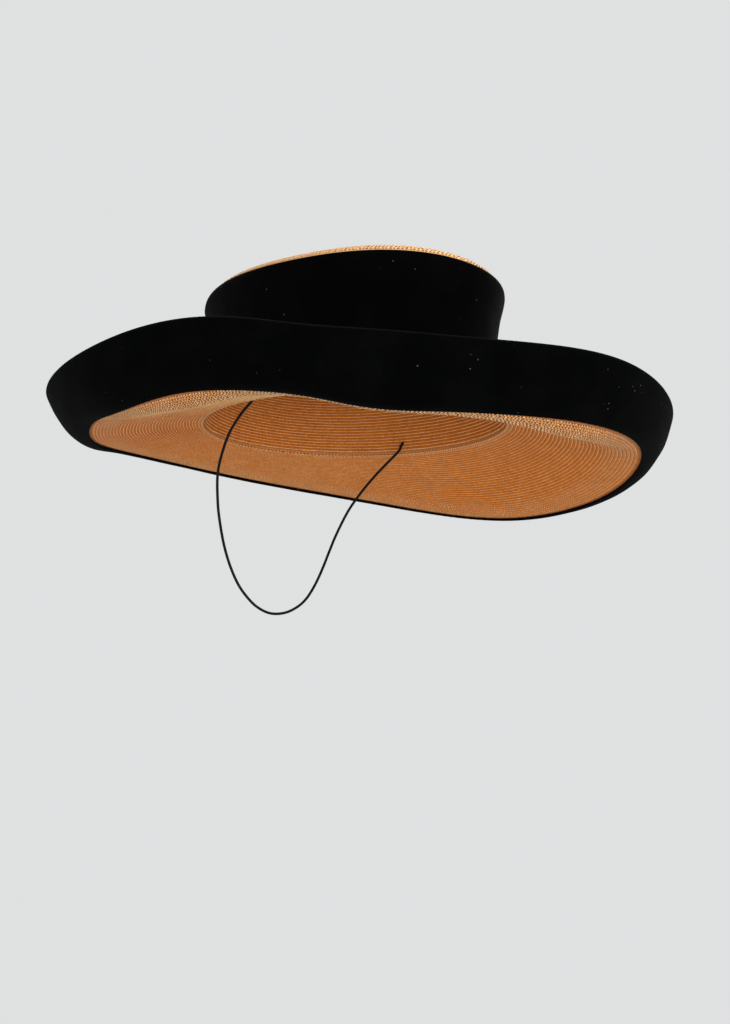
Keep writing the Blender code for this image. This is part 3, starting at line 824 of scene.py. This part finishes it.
def velvet_finish(name, sheen):
    """Black cotton velvet: fine nap, slow changes in how it lies, a few specks of lint, and a grey sheen."""
    velvet = Finish(
        name,
        Specular_IOR_Level=0.01,
        Sheen_Weight=sheen,
        Sheen_Roughness=VELVET_SHEEN_ROUGHNESS,
        Sheen_Tint=VELVET_SHEEN_TINT,
    )
    place = velvet.place()
    nap = velvet.noise(place, NAP_SCALE, 2.0, 0.6)
    lay_of_nap = velvet.noise(place, LAY_SCALE, 3.0, 0.55).rise(*LAY_RISE)
    sockets = {"Vector": place, "Scale": LINT_SCALE, "Randomness": 1.0}
    from_speck = velvet.node("ShaderNodeTexVoronoi", {"feature": "F1"}, sockets, "Distance")
    in_patch = velvet.noise(place, LINT_PATCH_SCALE, 1.0).rise(*LINT_PATCH_RISE)
    lint = (1 - from_speck.rise(*SPECK_RISE)) * in_patch
    colour = velvet.blend(nap * 0.5 + lay_of_nap * 0.5, *VELVET_COLOURS)
    colour = velvet.blend(lint * LINT_SHARE, colour, LINT_COLOUR)
    velvet.surface(colour, VELVET_ROUGHNESS + ROUGHER_BY_NAP * nap, nap, NAP_RELIEF)
    return velvet


def soft_waves(angle, up, depth):
    """The cloth's waves: a sum of sines of the angle and the way up, some of them moved by a slower sine."""
    wander = np.sin(WANDER_UP * up + WANDER_TURNS * angle)
    return depth * sum(
        share * np.sin(turns * angle + upward * up + start + moved * wander)
        for turns, upward, start, share, moved in rows_of(WAVE_COLUMNS, CLOTH_WAVES, *WAVE_COLUMNS)
    )


band_round = Round(BAND_STEPS)
band_crown = Crown(band_round)
edge_share = VELVET_EDGE / (band_crown.shoulder_start - band_crown.foot).mean()
edge_bend = np.degrees(VELVET_EDGE / SHOULDER_RADIUS)
foot_share, upper_bend = FOOT / 2 + edge_share, BAND_TOP_BEND - edge_bend
outer_away, inner_away = CLEARANCE + VELVET_WALL, CLEARANCE
half_turn = np.linspace(0, np.pi, EDGE_STEPS)[1:-1]
face_share = foot_share + (1 - foot_share) * np.linspace(0, 1, BAND_RISES)
back_share = foot_share + (1 - foot_share) * np.linspace(1, 0, BAND_BACK_RISES)
edge_outward = inner_away + VELVET_EDGE * (1 - np.cos(half_turn))
edge_inward = inner_away + VELVET_EDGE * (1 + np.cos(half_turn))
# Each ring's share of the wall's height, bend over the shoulder and distance out, round the section
band_profile = np.vstack(
    [
        ring_rows(foot_share - edge_share * np.sin(half_turn), 0, edge_outward),
        ring_rows(face_share, 0, outer_away),
        ring_rows(1, (upper_bend / 2, upper_bend), outer_away),
        ring_rows(1, upper_bend + edge_bend * np.sin(half_turn), edge_inward),
        ring_rows(1, (upper_bend, upper_bend / 2), inner_away),
        ring_rows(back_share, 0, inner_away),
    ]
)
band_share, band_bend, band_away = (each_ring(part) for part in band_profile.T)
on_face = band_away > inner_away + VELVET_EDGE
puffed = on_face * np.sin(np.pi * np.clip(band_share, 0, 1)) ** BAND_SOFT_ENDS
band_waves = BAND_WAVE + soft_waves(band_round.angle, 3 * band_share, BAND_WAVE)
join = JOIN_DEPTH * band_round.bell(JOIN_ANGLE, JOIN_HALF_WIDTH)
band_rings = band_crown.side(band_share, band_bend, band_away + puffed * band_waves - on_face * join)
velvet_band_cloth = surface_of(
    "velvet_band_cloth",
    band_rings,
    velvet_finish("velvet_band", BAND_SHEEN),
    np.linspace(0, 1, len(band_rings)),
    1,
)
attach(velvet_band_cloth, "root")
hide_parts("velvet_crown_band")

# Velvet brim facing. A second strip of the same velvet covers the turned-up edge of the brim. It is sewn to
# the straw with its edge turned under, goes up and round the rim, and ends inside as a narrow hem.
HEM_WIDTH = 0.012
FACING_STEPS, FACING_RISES, FACING_HEM_RISES, RIM_STEPS = 720, 26, 8, 9
# The side next to the straw is smooth, so that every third ring of the face is enough there
BACK_RING_EVERY = 3
# The strip puffs up next to its sewn edge: how far, at what share of its width, and over what share
FACING_PUFF, PUFF_AT, PUFF_WIDTH = 0.00010, 0.10, 0.10
FACING_WAVE = 0.00022
# Stitches gather the sewn edge into small puckers: their pitch and depth, the share of the width over
# which they die away, and the radius that gives their number
PUCKER_PITCH, PUCKER_DEPTH, PUCKER_REACH, MEAN_SEAM_RADIUS = 0.0052, 0.00018, 0.06, 0.17
# The strip stands off the straw where the brim bends hardest, at the back on the wearer's right. A power
# below 1 brings the bulge closer to the sewn edge
SLACK_ANGLE, SLACK_HALF_WIDTH, SLACK_DEPTH, SLACK_POWER = 206, 6, 0.0015, 0.55

facing_round = Round(FACING_STEPS)
facing_section = BrimSection(facing_round, CLEARANCE + VELVET_WALL)
straw_middle, half_straw = -STRAW_WALL / 2, STRAW_WALL / 2
away_middle = CLEARANCE + VELVET_EDGE
seam_middle, hem_middle = facing_section.seam + VELVET_EDGE, straw_end - HEM_WIDTH + VELVET_EDGE
rim_turn = np.linspace(0, np.pi, RIM_STEPS)[1:-1]
face_rises = seam_middle + (straw_end - seam_middle) * np.linspace(0, 1, FACING_RISES)
hem_rises = straw_end + (hem_middle - straw_end) * np.linspace(0, 1, FACING_HEM_RISES)
# Each ring's place and distance out, round the strip's section: the sewn edge, the face, the rim, the hem and
# its edge, and back on the side next to the straw
facing_profile = np.vstack(
    [
        ring_rows(*turned_edge(seam_middle, away_middle, VELVET_EDGE, half_turn[::-1], -1)),
        ring_rows(face_rises, outer_away),
        ring_rows(*turned_edge(straw_end, straw_middle, half_straw + outer_away, rim_turn, 1)),
        ring_rows(hem_rises, -STRAW_WALL - outer_away),
        ring_rows(*turned_edge(hem_middle, -STRAW_WALL - away_middle, VELVET_EDGE, half_turn[::-1], -1)),
        ring_rows(hem_rises[::-1], -STRAW_WALL - inner_away),
        ring_rows(*turned_edge(straw_end, straw_middle, half_straw + inner_away, rim_turn[::-1], 1)),
        ring_rows(face_rises[::-BACK_RING_EVERY], inner_away),
    ]
)
facing_places, facing_aways = (each_ring(part) for part in facing_profile.T)
up_facing = (facing_places - facing_section.seam) / (straw_end - facing_section.seam)
on_facing = np.clip(up_facing, 0, 1)
puff = FACING_PUFF * np.exp(-(((up_facing - PUFF_AT) / PUFF_WIDTH) ** 2))
waves = np.sin(np.pi * on_facing) * soft_waves(facing_round.angle, 2 * up_facing, FACING_WAVE)
slack = SLACK_DEPTH * np.sin(np.pi * on_facing**SLACK_POWER)
slack = slack * facing_round.bell(SLACK_ANGLE, SLACK_HALF_WIDTH)
puckers = np.cos(facing_round.angle * np.round(2 * np.pi * MEAN_SEAM_RADIUS / PUCKER_PITCH))
pucker_pull = PUCKER_DEPTH * np.exp(-on_facing / PUCKER_REACH)
stand_off = (facing_aways > away_middle) * (puff + waves + slack + pucker_pull * (puckers - 1) / 2)
facing_rings = facing_round.rings(
    *facing_section.at(facing_places + pucker_pull * puckers, facing_aways + stand_off)
)
velvet_facing_cloth = surface_of(
    "velvet_facing_cloth",
    facing_rings,
    velvet_finish("velvet_facing", FACING_SHEEN),
    np.linspace(0, 1, len(facing_rings)),
    1,
)
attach(velvet_facing_cloth, "root")
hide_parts("velvet_brim_facing")

# Floor and light. A plain pale floor well below the hat and a pale room, with three square soft lights: one
# from the front and above, one from low at the front right, and a smaller one above the crown.
FLOOR_HEIGHT, FLOOR_RADIUS, FLOOR_SIDES = -0.55, 2.6, 96
FLOOR_COLOUR, ROOM_COLOUR, ROOM_STRENGTH = (0.72, 0.72, 0.72), (0.745, 0.750, 0.755), 1.0
# Each light's name, its place and size in metres, its watts and its colour
LIGHTS = (
    ("front_light", (-0.6, -1.6, 0.9), 1.0, 6.0, (1.0, 0.98, 0.95)),
    ("low_light", (-1.0, -1.1, -0.30), 0.8, 15.0, (1.0, 0.98, 0.95)),
    ("top_light", (0.2, 0.05, 0.72), 0.5, 5.5, (1.0, 0.98, 0.96)),
)

floor_angle = np.arange(FLOOR_SIDES) * (2 * np.pi / FLOOR_SIDES)
floor_x, floor_y = FLOOR_RADIUS * np.cos(floor_angle), FLOOR_RADIUS * np.sin(floor_angle)
floor_rim = np.column_stack([floor_x, floor_y, np.full(FLOOR_SIDES, FLOOR_HEIGHT)])
floor_mesh = bpy.data.meshes.new("floor")
floor_mesh.from_pydata(floor_rim.tolist(), [], [tuple(range(FLOOR_SIDES))])
floor_finish = Finish("floor", Base_Color=FLOOR_COLOUR, Roughness=0.9, Specular_IOR_Level=0.1)
floor_mesh.materials.append(floor_finish.material)
floor = bpy.data.objects.new("floor", floor_mesh)
bpy.context.scene.collection.objects.link(floor)

bpy.context.scene.view_settings.view_transform = "Standard"
room = bpy.data.worlds.new("room")
room.use_nodes = True
room_light = room.node_tree.nodes["Background"]
room_light.inputs["Color"].default_value = (*ROOM_COLOUR, 1)
room_light.inputs["Strength"].default_value = ROOM_STRENGTH
bpy.context.scene.world = room
# Each light is turned to the head opening's middle
for light_name, light_at, light_size, watts, light_colour in LIGHTS:
    lamp = bpy.data.lights.new(light_name, "AREA")
    lamp.shape, lamp.size, lamp.energy, lamp.color = "SQUARE", light_size, watts, light_colour
    light = bpy.data.objects.new(light_name, lamp)
    bpy.context.scene.collection.objects.link(light)
    light.location = light_at
    light.rotation_euler = (-Vector(light_at)).to_track_quat("-Z", "Y").to_euler()
